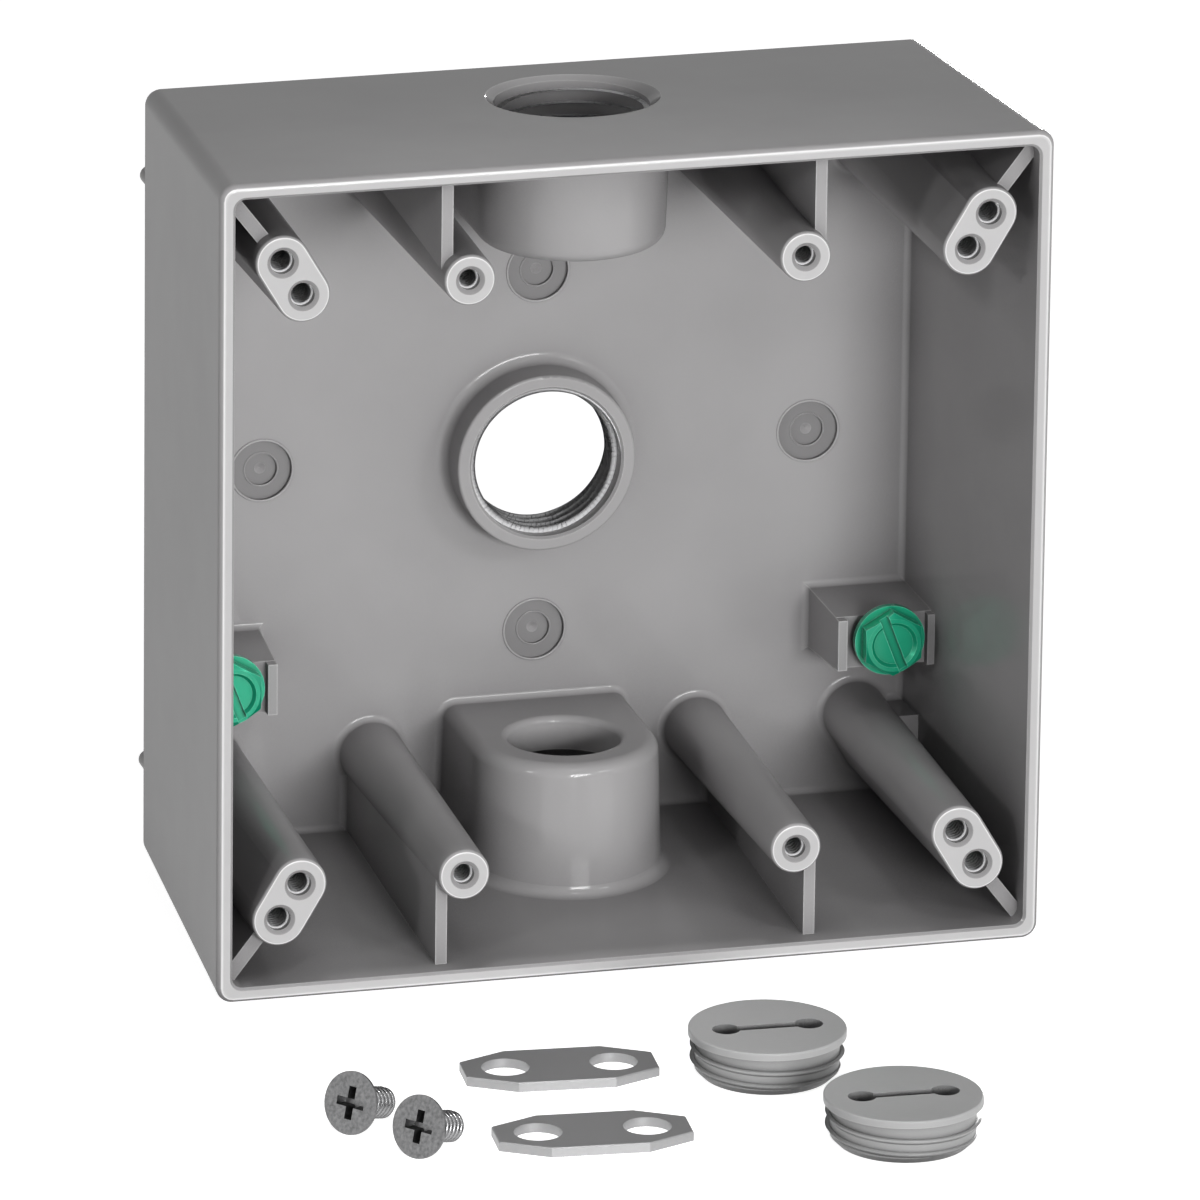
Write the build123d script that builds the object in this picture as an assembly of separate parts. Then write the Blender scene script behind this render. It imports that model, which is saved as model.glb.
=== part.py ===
from build123d import *

import math
import os

# Two-gang weatherproof outlet box, die cast in one piece, with its ground screws in place
# and its loose hardware (closure plugs, mounting lugs, lug screws) lying in front of it.
# Millimetres. The origin is the centre of the back (mounting) face, +Z is up, and the open
# front faces -Y. The casting is modelled lying on its back, then stood up.

# Shell of the casting
front_width = 114.3
front_height = 114.3
box_depth = 54.0
side_draft = 2.6
side_wall = 2.1
back_wall = 2.3
corner_radius = 2.2
inner_corner_radius = 1.4
rim_rounding = 0.95
rim_inner_chamfer = 0.35
back_rounding = 1.3

# Threaded outlets, one in the top wall, one in the bottom wall and one in the back
outlet_thread_radius = 10.55
outlet_from_back = 18.6
outlet_thread_length = 15.2
outlet_chamfer_radius = 11.8
outlet_chamfer_depth = 1.2
hub_length = 19.9
hub_tip_radius = 12.8
hub_draft = 2.0
hub_tip_rounding = 1.8
lip_hole_radius = 7.7
lip_rounding = 0.9
back_hub_radius = 12.5
back_hub_draft = 2.0
back_hub_height = 5.8
back_hub_mouth_chamfer = 0.35
back_hub_edge_rounding = 0.4

# Screw bosses in the corners and beside the outlets
boss_recess = 0.5
single_boss_draft = 1.1
double_boss_draft = 0.9
boss_edge_rounding = 0.5
screw_hole_radius = 1.45
screw_hole_mouth_radius = 2.0
corner_hole_radius = 1.65
corner_hole_mouth_radius = 2.15
screw_hole_depth = 18.0
device_spacing_x = 46.04
device_spacing_z = 83.34
single_boss_radius = 3.5
double_boss_half_width = 3.7
inner_hole_inset_x = 11.45
inner_hole_inset_z = 15.95
outer_hole_inset_x = 8.65
outer_hole_inset_z = 11.25
rib_thickness = 1.6
corner_rib_thickness = 1.9
rib_recess = 2.3
corner_web_inset = 17.3
corner_web_length = 9.95
corner_web_top = 9.6
single_rib_offset = 2.6

# Ground pads, one against each side wall, with guard bars beside the screw
pad_height = 11.9
pad_draft = 3.0
pad_face_half_length = 3.7
pad_from_bottom = 30.3
ground_screw_above_pad = 0.75
ground_screw_from_wall = 6.65
guard_bar_width = 1.3
guard_bar_height = 1.5
guard_bar_end_gap = 0.1
guard_bar_spacing = 12.7
ground_hole_depth = 11.0

# Ground screws, shown a little backed out of their pads
ground_shank_radius = 2.4
ground_shank_length = 9.5
ground_thread_clearance = 0.05
ground_washer_radius = 4.95
ground_washer_thickness = 0.95
ground_head_flats = 7.9
ground_head_height = 2.3
ground_head_top_radius = 3.75
ground_head_dish_radius = 3.2
ground_head_dish_depth = 0.45
ground_slot_width = 1.3
ground_slot_depth = 1.0
ground_slot_angle = 111.0
ground_screw_backed_out = 1.7

# Drill spots on the inner back wall
drill_spot_z = 25.7
drill_spot_x = 38.5
drill_spot_radius = 4.25
drill_spot_depth = 0.6
drill_spot_inner_radius = 2.3
drill_spot_inner_depth = 0.5
drill_dimple_radius = 0.8
drill_dimple_tip_radius = 0.05
drill_dimple_depth = 0.5

# Back face
nub_radius = 1.3
nub_height = 2.0
nub_from_side = 1.3
nub_spacing_z = 83.4
lug_hole_radius = 1.75
lug_hole_depth = 8.5

# Fillets where the back wall meets the walls, hubs, bosses and pads
foot_fillet = 0.9
back_hub_foot_fillet = 1.5
hub_side_fillet = 1.5
rib_pocket_width = 19.0
rib_pocket_height = 8.15

# Closure plugs
plug_flange_radius = 10.5
plug_flange_thickness = 1.0
plug_root_radius = 9.6
plug_height = 6.4
plug_end_chamfer = 0.9
plug_slot_length = 15.0
plug_slot_width = 1.7
plug_slot_lobe_radius = 1.9
plug_slot_depth = 1.8
plug_edge_rounding = 0.25

# Mounting lugs
lug_length = 25.8
lug_width = 12.3
lug_thickness = 1.3
lug_end_flat = 5.8
lug_corner_run = 6.4
lug_bore_radius = 3.2
lug_bore_spacing = 14.5
lug_edge_chamfer = 0.15

# Lug screws
lug_screw_head_radius = 4.2
lug_screw_head_edge = 0.35
lug_screw_head_angle = 41.0
lug_screw_shank_radius = 1.8
lug_screw_crest_radius = 2.1
lug_screw_length = 7.9
lug_screw_end_chamfer = 0.4
cross_span = 4.4
cross_width = 1.15
cross_depth = 1.7
cross_taper = 9.0

# Where the loose hardware lies on the surface in front of the box: x, y and turn in degrees
plug_places = ((7.4, -95.2, -2.0), (17.9, -123.4, -2.0))
lug_places = ((-19.4, -89.5, -4.7), (-21.4, -113.7, -4.7))
lug_screw_places = ((-51.6, -104.2, 38.0), (-45.1, -114.7, 38.0))

# Sizes worked out from the driving dimensions
draft_angle = math.degrees(math.atan(side_draft / box_depth))
rim_tangent = rim_rounding * math.tan(math.radians(45 - draft_angle / 2))
floor_z = side_draft * rim_tangent / box_depth - front_height / 2
boss_top = box_depth - boss_recess
rib_top = boss_top - rib_recess
root = back_wall / 2
inner_hole_x = front_width / 2 - inner_hole_inset_x
inner_hole_z = front_height / 2 - inner_hole_inset_z
outer_hole_x = front_width / 2 - outer_hole_inset_x
outer_hole_z = front_height / 2 - outer_hole_inset_z
pad_top = back_wall + pad_height
pad_centre_z = pad_from_bottom - front_height / 2
ground_screw_z = pad_centre_z + ground_screw_above_pad
outlet_mouth_z = front_height / 2 - side_draft * (1 - outlet_from_back / box_depth)
inner_wall_x_at_pad = front_width / 2 - side_wall - side_draft * (1 - pad_top / box_depth)
ground_screw_x = inner_wall_x_at_pad - ground_screw_from_wall

quarter_signs = ((-1, -1), (-1, 1), (1, -1), (1, 1))

# Overshoot of cutting tools past the faces that they cut, and the reach of a position test
overshoot = 1.0
near = 0.01


def drafted_block(width, height, depth, radius):
    """Block with its full size at z = depth and its drafted small end at z = 0."""
    block = extrude(Rectangle(width, height), amount=depth, taper=draft_angle)
    upright_edges = block.edges().filter_by(lambda edge: abs(edge.tangent_at(0.5).Z) > 0.5)
    block = fillet(upright_edges, radius)
    return Pos(0, 0, depth) * Rot(180, 0, 0) * block


def edges_at_height(shape, height):
    """Edges that lie in the plane z = height."""
    return shape.edges().filter_by_position(Axis.Z, height - near, height + near)


def shell():
    """Five drafted walls with a rounded rim and rounded back edges."""
    outer = drafted_block(front_width, front_height, box_depth, corner_radius)
    outer = fillet(edges_at_height(outer, 0), back_rounding)
    outer = fillet(edges_at_height(outer, box_depth), rim_rounding)
    cavity = drafted_block(
        front_width - 2 * side_wall,
        front_height - 2 * side_wall,
        box_depth,
        inner_corner_radius,
    )
    cavity = cavity & Pos(0, 0, back_wall) * floor_up_box()
    walls = outer - cavity
    inner_mouth = edges_at_height(walls, box_depth).filter_by(is_inner_mouth)
    return chamfer(inner_mouth, rim_inner_chamfer)


def is_inner_mouth(edge):
    """True for an edge of the mouth that lies on the cavity's outline."""
    middle = edge.position_at(0.5)
    reach_x = front_width / 2 - side_wall + near
    reach_y = front_height / 2 - side_wall + near
    return abs(middle.X) < reach_x and abs(middle.Y) < reach_y


def floor_up_box():
    """Everything above z = 0 that the box can reach."""
    stand = (Align.CENTER, Align.CENTER, Align.MIN)
    return Box(2 * front_width, 2 * front_height, 2 * box_depth, align=stand)


def post(profile_of, size_at_top, top, draft):
    """Drafted post from inside the back wall to z = top, with a rounded top edge."""
    growth = (top - root) * math.tan(math.radians(draft))
    body = extrude(profile_of(size_at_top + growth), amount=top - root, taper=draft)
    body = Pos(0, 0, root) * body
    return fillet(edges_at_height(body, top), boss_edge_rounding)


def single_boss(sign_x, sign_y):
    """Round boss for a device screw, with a rib to the nearest wall."""
    x = sign_x * device_spacing_x / 2
    y = sign_y * device_spacing_z / 2
    boss = Pos(x, y, 0) * post(Circle, single_boss_radius, boss_top, single_boss_draft)
    reach = front_height / 2 - device_spacing_z / 2
    rib_x = x + sign_x * single_rib_offset
    rib = Pos(rib_x, y + sign_y * reach / 2, root) * Box(
        rib_thickness, reach, rib_top - root, align=(Align.CENTER, Align.CENTER, Align.MIN)
    )
    return boss + rib


def double_boss(sign_x, sign_y):
    """Long boss for the two cover screws of a corner, with a rib into the corner."""
    inner = Vector(sign_x * inner_hole_x, sign_y * inner_hole_z)
    outer = Vector(sign_x * outer_hole_x, sign_y * outer_hole_z)
    middle = (inner + outer) * 0.5

    def slot(half_width):
        return SlotCenterPoint(middle, outer, 2 * half_width)

    boss = post(slot, double_boss_half_width, boss_top, double_boss_draft)
    corner = Vector(sign_x * front_width / 2, sign_y * front_height / 2)
    run = corner - outer
    angle = math.degrees(math.atan2(run.Y, run.X))
    rib = Pos(outer.X, outer.Y, root) * Rot(0, 0, angle) * Box(
        run.length, corner_rib_thickness, rib_top - root, align=(Align.MIN, Align.CENTER, Align.MIN)
    )
    return boss + rib + corner_web(sign_x, sign_y)


def corner_web(sign_x, sign_y):
    """Low web that fills the pocket between a corner boss, its rib and the side wall."""
    from_corner = (Align.MIN, Align.MIN, Align.MIN)
    web = Box(outer_hole_inset_x, corner_web_length, corner_web_top - root, align=from_corner)
    web = Pos(outer_hole_x, front_height / 2 - corner_web_inset, root) * web
    if sign_x < 0:
        web = mirror(web, about=Plane.YZ)
    if sign_y < 0:
        web = mirror(web, about=Plane.XZ)
    return web


def outlet_hub():
    """U-shaped hub of the top outlet, from the wall to its tip, with a rounded tip edge."""
    tip_z = outlet_mouth_z - hub_length
    length = front_height / 2 - tip_z
    wide = hub_tip_radius + length * math.tan(math.radians(hub_draft))
    below = outlet_from_back
    profile = Circle(wide) + Pos(0, -below) * Rectangle(2 * wide, 2 * below)
    hub = extrude(profile, amount=length, taper=hub_draft)
    hub = fillet(edges_at_height(hub, length), hub_tip_rounding)
    lay_down = Pos(0, front_height / 2, outlet_from_back) * Rot(90, 0, 0)
    return lay_down * hub


def ground_pad():
    """Drafted pad against the right side wall with its two guard bars."""
    top_inner_x = ground_screw_x - guard_bar_spacing / 2 - guard_bar_width / 2
    top_outer_x = front_width / 2
    growth = (pad_top - root) * math.tan(math.radians(pad_draft))
    width = top_outer_x - top_inner_x
    base = Rectangle(2 * (width + growth), 2 * (pad_face_half_length + growth))
    pad = extrude(base, amount=pad_top - root, taper=pad_draft)
    pad = Pos(top_outer_x, pad_centre_z, root) * pad
    bars = Part()
    for side in (-1, 1):
        bar_x = ground_screw_x + side * guard_bar_spacing / 2
        bar = Box(
            guard_bar_width,
            2 * (pad_face_half_length - guard_bar_end_gap),
            guard_bar_height + overshoot,
            align=(Align.CENTER, Align.CENTER, Align.MIN),
        )
        bars += Pos(bar_x, pad_centre_z, pad_top - overshoot) * bar
    return pad + bars


def back_hub():
    """Round hub of the back outlet."""
    height = back_wall + back_hub_height - root
    growth = height * math.tan(math.radians(back_hub_draft))
    hub = Pos(0, 0, root) * Cone(
        back_hub_radius + growth,
        back_hub_radius,
        height,
        align=(Align.CENTER, Align.CENTER, Align.MIN),
    )
    return fillet(edges_at_height(hub, root + height), back_hub_edge_rounding)


def screw_hole(x, y, radius, mouth_radius):
    """Blind screw hole from a boss face, with a chamfered mouth."""
    sink = (Align.CENTER, Align.CENTER, Align.MAX)
    hole = Cylinder(radius, screw_hole_depth, align=sink)
    mouth = Cone(radius, mouth_radius, mouth_radius - radius, align=sink)
    return Pos(x, y, boss_top) * (hole + mouth)


def outlet_bore():
    """Threaded bore of the top outlet with its entry chamfer and the smaller hole in its lip."""
    stand = (Align.CENTER, Align.CENTER, Align.MIN)
    sink = (Align.CENTER, Align.CENTER, Align.MAX)
    thread = Cylinder(outlet_thread_radius, outlet_thread_length + overshoot, align=stand)
    thread = Pos(0, 0, -outlet_thread_length) * thread
    lip = Cylinder(lip_hole_radius, hub_length + overshoot, align=sink)
    slope = (outlet_chamfer_radius - outlet_thread_radius) / outlet_chamfer_depth
    lead = Pos(0, 0, -outlet_chamfer_depth) * Cone(
        outlet_thread_radius,
        outlet_chamfer_radius + slope * overshoot,
        outlet_chamfer_depth + overshoot,
        align=stand,
    )
    return Pos(0, outlet_mouth_z, outlet_from_back) * Rot(-90, 0, 0) * (thread + lip + lead)


def drill_spot():
    """Stepped shallow recess with a centre dimple, sunk from z = 0."""
    sink = (Align.CENTER, Align.CENTER, Align.MAX)
    spot = Cylinder(drill_spot_radius, drill_spot_depth, align=sink)
    inner_floor = drill_spot_depth + drill_spot_inner_depth
    spot += Cylinder(drill_spot_inner_radius, inner_floor, align=sink)
    dimple = Cone(drill_dimple_tip_radius, drill_dimple_radius, drill_dimple_depth, align=sink)
    return spot + Pos(0, 0, -inner_floor) * dimple


def back_bore():
    """Threaded bore of the back outlet, with a small chamfer at its inner mouth."""
    top = back_wall + back_hub_height
    bore = Pos(0, 0, -overshoot) * Cylinder(
        outlet_thread_radius, top + 2 * overshoot, align=(Align.CENTER, Align.CENTER, Align.MIN)
    )
    mouth = Pos(0, 0, top) * Cone(
        outlet_thread_radius,
        outlet_thread_radius + back_hub_mouth_chamfer,
        back_hub_mouth_chamfer,
        align=(Align.CENTER, Align.CENTER, Align.MAX),
    )
    return bore + mouth


def nub():
    """Short round nub on the back face, under z = 0."""
    body = Cylinder(nub_radius, nub_height + root, align=(Align.CENTER, Align.CENTER, Align.MIN))
    return Pos(0, 0, -nub_height) * body


def back_details(casting):
    """The casting with its back nubs and the blind holes for the lug screws."""
    nub_x = front_width / 2 - side_draft - nub_from_side
    lug_hole_x = (inner_hole_x + outer_hole_x) / 2
    lug_hole_y = (inner_hole_z + outer_hole_z) / 2
    hole = Cylinder(lug_hole_radius, lug_hole_depth, align=(Align.CENTER, Align.CENTER, Align.MIN))
    for sign_x, sign_y in quarter_signs:
        casting += Pos(sign_x * nub_x, sign_y * nub_spacing_z / 2, 0) * nub()
    for sign_x, sign_y in quarter_signs:
        casting -= Pos(sign_x * lug_hole_x, sign_y * lug_hole_y, 0) * hole
    return casting


def round_hub_sides(casting):
    """The casting with fillets where the hubs meet the top and bottom walls."""
    return fillet(casting.edges().filter_by(is_hub_side), hub_side_fillet)


def is_hub_side(edge):
    """True for an edge between a hub and the inner top or bottom wall."""
    middle = edge.position_at(0.5)
    beside_hub = abs(middle.X) < hub_tip_radius + hub_side_fillet
    on_wall = abs(middle.Y) > front_height / 2 - side_wall - side_draft
    behind_hub_front = back_wall + near < middle.Z < 2 * outlet_from_back
    return beside_hub and on_wall and behind_hub_front


def round_feet(casting):
    """The casting with fillets where the back wall meets what stands on it."""
    hub_foot = edges_at_height(casting, back_wall).filter_by(is_back_hub_foot)
    casting = fillet(hub_foot, back_hub_foot_fillet)
    feet = edges_at_height(casting, back_wall).filter_by(is_other_foot)
    return fillet(feet, foot_fillet)


def is_back_hub_foot(edge):
    """True for an edge of the back hub on the inner back wall, before or after its fillet."""
    middle = edge.position_at(0.5)
    return math.hypot(middle.X, middle.Y) < back_hub_radius + 2 * back_hub_foot_fillet


def is_other_foot(edge):
    """True for the other feet on the back wall, except in the narrow pockets beside the ribs."""
    middle = edge.position_at(0.5)
    wall_x = front_width / 2 - side_wall - side_draft - near
    wall_y = front_height / 2 - side_wall - side_draft - near
    in_pocket_x = front_width / 2 - rib_pocket_width < abs(middle.X) < wall_x
    in_pocket_y = front_height / 2 - rib_pocket_height < abs(middle.Y) < wall_y
    return not is_back_hub_foot(edge) and not (in_pocket_x and in_pocket_y)


def round_lips(casting):
    """The casting with rounded edges where the outlets' lip holes leave their hubs."""
    tip_y = outlet_mouth_z - hub_length
    for sign in (-1, 1):
        level = sign * tip_y
        edges = casting.edges().filter_by_position(Axis.Y, level - near, level + near)
        lip = edges.filter_by(GeomType.CIRCLE).filter_by(is_lip_edge)
        casting = fillet(lip, lip_rounding)
    return casting


def is_lip_edge(edge):
    """True for a circle of the lip hole's own radius."""
    return abs(edge.radius - lip_hole_radius) < near


def box_casting():
    """The whole casting, stood up with its open front towards -Y."""
    core = Pos(0, 0, root) * drafted_block(
        front_width - side_wall, front_height - side_wall, box_depth, inner_corner_radius
    )
    features = Part()
    for sign_x, sign_y in quarter_signs:
        features += single_boss(sign_x, sign_y)
        features += double_boss(sign_x, sign_y)
    hub = outlet_hub()
    features += hub
    features += mirror(hub, about=Plane.XZ)
    pad = ground_pad()
    features += pad
    features += mirror(pad, about=Plane.YZ)
    features += back_hub()
    casting = round_feet(round_hub_sides(shell() + (features & core)))

    for sign_x, sign_y in quarter_signs:
        device_x = sign_x * device_spacing_x / 2
        device_y = sign_y * device_spacing_z / 2
        casting -= screw_hole(device_x, device_y, screw_hole_radius, screw_hole_mouth_radius)
        for x, y in ((inner_hole_x, inner_hole_z), (outer_hole_x, outer_hole_z)):
            casting -= screw_hole(sign_x * x, sign_y * y, corner_hole_radius, corner_hole_mouth_radius)
    bore = outlet_bore()
    casting -= bore
    casting -= mirror(bore, about=Plane.XZ)
    casting = round_lips(casting)
    casting -= back_bore()
    ground_hole = Cylinder(
        ground_shank_radius + ground_thread_clearance,
        ground_hole_depth,
        align=(Align.CENTER, Align.CENTER, Align.MAX),
    )
    for sign_x in (-1, 1):
        casting -= Pos(sign_x * ground_screw_x, ground_screw_z, pad_top) * ground_hole
    for x, y in ((0, drill_spot_z), (0, -drill_spot_z), (drill_spot_x, 0), (-drill_spot_x, 0)):
        casting -= Pos(x, y, back_wall) * drill_spot()
    casting = back_details(casting)
    return Rot(90, 0, 0) * casting


def ground_screw(sign_x):
    """Hex-washer-head screw with a dished, slotted top, a little backed out of its pad."""
    stand = (Align.CENTER, Align.CENTER, Align.MIN)
    washer = Cylinder(ground_washer_radius, ground_washer_thickness, align=stand)
    hexagon = RegularPolygon(ground_head_flats / 2, 6, major_radius=False, rotation=30)
    corner_slope = math.tan(math.radians(60))
    corner_cone = Cone(
        ground_head_top_radius + ground_head_height * corner_slope,
        ground_head_top_radius,
        ground_head_height,
        align=stand,
    )
    head = extrude(hexagon, amount=ground_head_height) & corner_cone
    sink = (Align.CENTER, Align.CENTER, Align.MAX)
    dish = Cone(
        ground_head_dish_radius - ground_head_dish_depth,
        ground_head_dish_radius,
        ground_head_dish_depth,
        align=sink,
    )
    slot = Rot(0, 0, ground_slot_angle) * Box(
        2 * ground_washer_radius, ground_slot_width, ground_slot_depth, align=sink
    )
    head -= Pos(0, 0, ground_head_height) * (dish + slot)
    shank = Cylinder(ground_shank_radius, ground_shank_length, align=sink)
    screw = washer + Pos(0, 0, ground_washer_thickness) * head + shank
    seat = pad_top + ground_screw_backed_out
    return Rot(90, 0, 0) * Pos(sign_x * ground_screw_x, ground_screw_z, seat) * screw


def closure_plug():
    """Threaded plug standing on its end, with a dumbbell-shaped wrench slot in its flange."""
    stand = (Align.CENTER, Align.CENTER, Align.MIN)
    body_height = plug_height - plug_flange_thickness
    body = Cylinder(plug_root_radius, body_height, align=stand)
    body = chamfer(edges_at_height(body, 0), plug_end_chamfer)
    flange = Cylinder(plug_flange_radius, plug_flange_thickness, align=stand)
    flange = fillet(edges_at_height(flange, plug_flange_thickness), plug_edge_rounding)
    lobe_x = plug_slot_length / 2 - plug_slot_lobe_radius
    slot = Rectangle(2 * lobe_x, plug_slot_width)
    for sign in (-1, 1):
        slot += Pos(sign * lobe_x, 0) * Circle(plug_slot_lobe_radius)
    pocket = Pos(0, 0, plug_height - plug_slot_depth) * extrude(slot, amount=plug_slot_depth)
    return body + Pos(0, 0, body_height) * flange - pocket


def mounting_lug():
    """Flat stamped lug with cut corners and two holes, lying flat."""
    half_flat = lug_end_flat / 2
    outline = [
        (lug_length / 2, half_flat),
        (lug_length / 2 - lug_corner_run, lug_width / 2),
        (lug_corner_run - lug_length / 2, lug_width / 2),
        (-lug_length / 2, half_flat),
        (-lug_length / 2, -half_flat),
        (lug_corner_run - lug_length / 2, -lug_width / 2),
        (lug_length / 2 - lug_corner_run, -lug_width / 2),
        (lug_length / 2, -half_flat),
    ]
    plate = extrude(make_face(Polyline(outline, close=True)), amount=lug_thickness)
    plate = chamfer(edges_at_height(plate, lug_thickness), lug_edge_chamfer)
    hole = Cylinder(lug_bore_radius, lug_thickness, align=(Align.CENTER, Align.CENTER, Align.MIN))
    for sign in (-1, 1):
        plate -= Pos(sign * lug_bore_spacing / 2, 0, 0) * hole
    return plate


def lug_screw():
    """Short countersunk screw with a cross recess, its flat head at z = 0 facing +Z."""
    sink = (Align.CENTER, Align.CENTER, Align.MAX)
    cone_run = lug_screw_head_radius - lug_screw_shank_radius
    cone_drop = cone_run / math.tan(math.radians(lug_screw_head_angle))
    edge = Cylinder(lug_screw_head_radius, lug_screw_head_edge, align=sink)
    taper = Pos(0, 0, -lug_screw_head_edge) * Cone(
        lug_screw_shank_radius, lug_screw_head_radius, cone_drop, align=sink
    )
    shank = Cylinder(lug_screw_shank_radius, lug_screw_length, align=sink)
    shank = chamfer(edges_at_height(shank, -lug_screw_length), lug_screw_end_chamfer)
    arms = Rectangle(cross_span, cross_width) + Rectangle(cross_width, cross_span)
    recess = Rot(180, 0, 0) * extrude(arms, amount=cross_depth, taper=cross_taper)
    return edge + taper + shank - recess


def lying_lug_screw(x, y, turn):
    """A lug screw on its side, resting on its head's edge and the crests of its last threads."""
    contact_run = lug_screw_length - lug_screw_end_chamfer
    tip = math.degrees(math.atan((lug_screw_head_radius - lug_screw_crest_radius) / contact_run))
    rest_height = lug_screw_head_radius * math.cos(math.radians(tip))
    lie = Rot(0, 0, turn) * Rot(0, tip - 90, 0)
    return Pos(x, y, floor_z + rest_height) * lie * lug_screw()


def main():
    os.makedirs("parts", exist_ok=True)
    export_step(box_casting(), "parts/box_casting.step")
    export_step(ground_screw(-1), "parts/ground_screw_left.step")
    export_step(ground_screw(1), "parts/ground_screw_right.step")
    for number in (0, 1):
        x, y, turn = plug_places[number]
        plug = Pos(x, y, floor_z) * Rot(0, 0, turn) * closure_plug()
        export_step(plug, f"parts/closure_plug_{number + 1}.step")
        x, y, turn = lug_places[number]
        lug = Pos(x, y, floor_z) * Rot(0, 0, turn) * mounting_lug()
        export_step(lug, f"parts/mounting_lug_{number + 1}.step")
        x, y, turn = lug_screw_places[number]
        export_step(lying_lug_screw(x, y, turn), f"parts/lug_screw_{number + 1}.step")


main()
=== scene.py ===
import bmesh
import bpy
import math
from mathutils import Matrix, Vector


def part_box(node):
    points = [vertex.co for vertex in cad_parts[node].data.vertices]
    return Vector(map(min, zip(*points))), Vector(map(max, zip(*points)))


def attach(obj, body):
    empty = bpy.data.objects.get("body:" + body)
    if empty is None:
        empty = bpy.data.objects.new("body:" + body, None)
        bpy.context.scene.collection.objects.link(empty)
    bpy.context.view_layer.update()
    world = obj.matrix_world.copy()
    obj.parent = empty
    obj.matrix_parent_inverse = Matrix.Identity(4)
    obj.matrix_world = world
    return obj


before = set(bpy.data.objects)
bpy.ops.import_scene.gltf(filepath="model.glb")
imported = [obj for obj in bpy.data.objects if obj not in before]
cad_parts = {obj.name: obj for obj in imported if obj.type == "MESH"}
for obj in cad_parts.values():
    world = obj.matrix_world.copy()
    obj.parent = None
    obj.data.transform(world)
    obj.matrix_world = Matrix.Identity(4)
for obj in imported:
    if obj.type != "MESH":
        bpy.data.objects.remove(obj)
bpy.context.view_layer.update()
scene = bpy.context.scene
millimetre = 0.001

# Camera
# A long lens looks down on the open front from the left, turned very slightly on its own axis.
camera_azimuth = math.radians(-15.37)
camera_elevation = math.radians(18.755)
camera_roll = math.radians(0.723)
camera_distance = 2.0
camera_target = Vector((-4.906, -54.0, -4.036)) * millimetre
camera_sensor_width = 36.0
camera_lens_length = 450.69
camera_sight = 20.0
camera_data = bpy.data.cameras.new("photo_camera")
camera_data.sensor_width = camera_sensor_width
camera_data.sensor_fit = "HORIZONTAL"
camera_data.lens = camera_lens_length
camera_data.clip_end = camera_sight
camera = bpy.data.objects.new("photo_camera", camera_data)
scene.collection.objects.link(camera)
looking = Vector((
    -math.sin(camera_azimuth) * math.cos(camera_elevation),
    math.cos(camera_azimuth) * math.cos(camera_elevation),
    -math.sin(camera_elevation),
))
level_right = Vector((math.cos(camera_azimuth), math.sin(camera_azimuth), 0.0))
level_up = level_right.cross(looking)
right = level_right * math.cos(camera_roll) + level_up * math.sin(camera_roll)
up = level_up * math.cos(camera_roll) - level_right * math.sin(camera_roll)
turn = Matrix((right, up, -looking)).transposed()
camera.matrix_world = Matrix.Translation(camera_target - looking * camera_distance) @ turn.to_4x4()
scene.camera = camera

# Floor, background and light
# A plain white studio floor that shows white wherever it is lit and keeps a soft shadow under the box.
# Lamp panels stand round the box, and one narrow spot lamp above lights the loose hardware.
floor_half_size = 4.0
floor_grey = (0.7, 0.7, 0.7, 1.0)
floor_glow = 0.92
plain_white = (1.0, 1.0, 1.0, 1.0)
floor_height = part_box("mounting_lug_1")[0].z
floor_corners = [(-1, -1), (1, -1), (1, 1), (-1, 1)]
floor_mesh = bpy.data.meshes.new("studio_floor")
floor_mesh.from_pydata(
    [(x * floor_half_size, y * floor_half_size, floor_height) for x, y in floor_corners],
    [],
    [(0, 1, 2, 3)],
)
floor = bpy.data.objects.new("studio_floor", floor_mesh)
scene.collection.objects.link(floor)


def seen_share(tree):
    """1 for what the camera sees, directly or by way of gloss or glass, and 0 for the rest."""
    rays = tree.nodes.new("ShaderNodeLightPath")
    camera_or_glossy = tree.nodes.new("ShaderNodeMath")
    camera_or_glossy.operation = "MAXIMUM"
    tree.links.new(rays.outputs["Is Camera Ray"], camera_or_glossy.inputs[0])
    tree.links.new(rays.outputs["Is Glossy Ray"], camera_or_glossy.inputs[1])
    seen = tree.nodes.new("ShaderNodeMath")
    seen.operation = "MAXIMUM"
    tree.links.new(camera_or_glossy.outputs[0], seen.inputs[0])
    tree.links.new(rays.outputs["Is Transmission Ray"], seen.inputs[1])
    return seen.outputs[0]


floor_paint = bpy.data.materials.new("studio_floor_paint")
floor_paint.use_nodes = True
tree = floor_paint.node_tree
tree.nodes.clear()
matte = tree.nodes.new("ShaderNodeBsdfDiffuse")
matte.inputs["Color"].default_value = floor_grey
glow = tree.nodes.new("ShaderNodeEmission")
glow.inputs["Color"].default_value = plain_white
glow.inputs["Strength"].default_value = floor_glow
lit_floor = tree.nodes.new("ShaderNodeAddShader")
tree.links.new(matte.outputs[0], lit_floor.inputs[0])
tree.links.new(glow.outputs[0], lit_floor.inputs[1])
floor_mix = tree.nodes.new("ShaderNodeMixShader")
tree.links.new(seen_share(tree), floor_mix.inputs[0])
tree.links.new(matte.outputs[0], floor_mix.inputs[1])
tree.links.new(lit_floor.outputs[0], floor_mix.inputs[2])
floor_out = tree.nodes.new("ShaderNodeOutputMaterial")
tree.links.new(floor_mix.outputs[0], floor_out.inputs["Surface"])
floor_mesh.materials.append(floor_paint)

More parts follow.
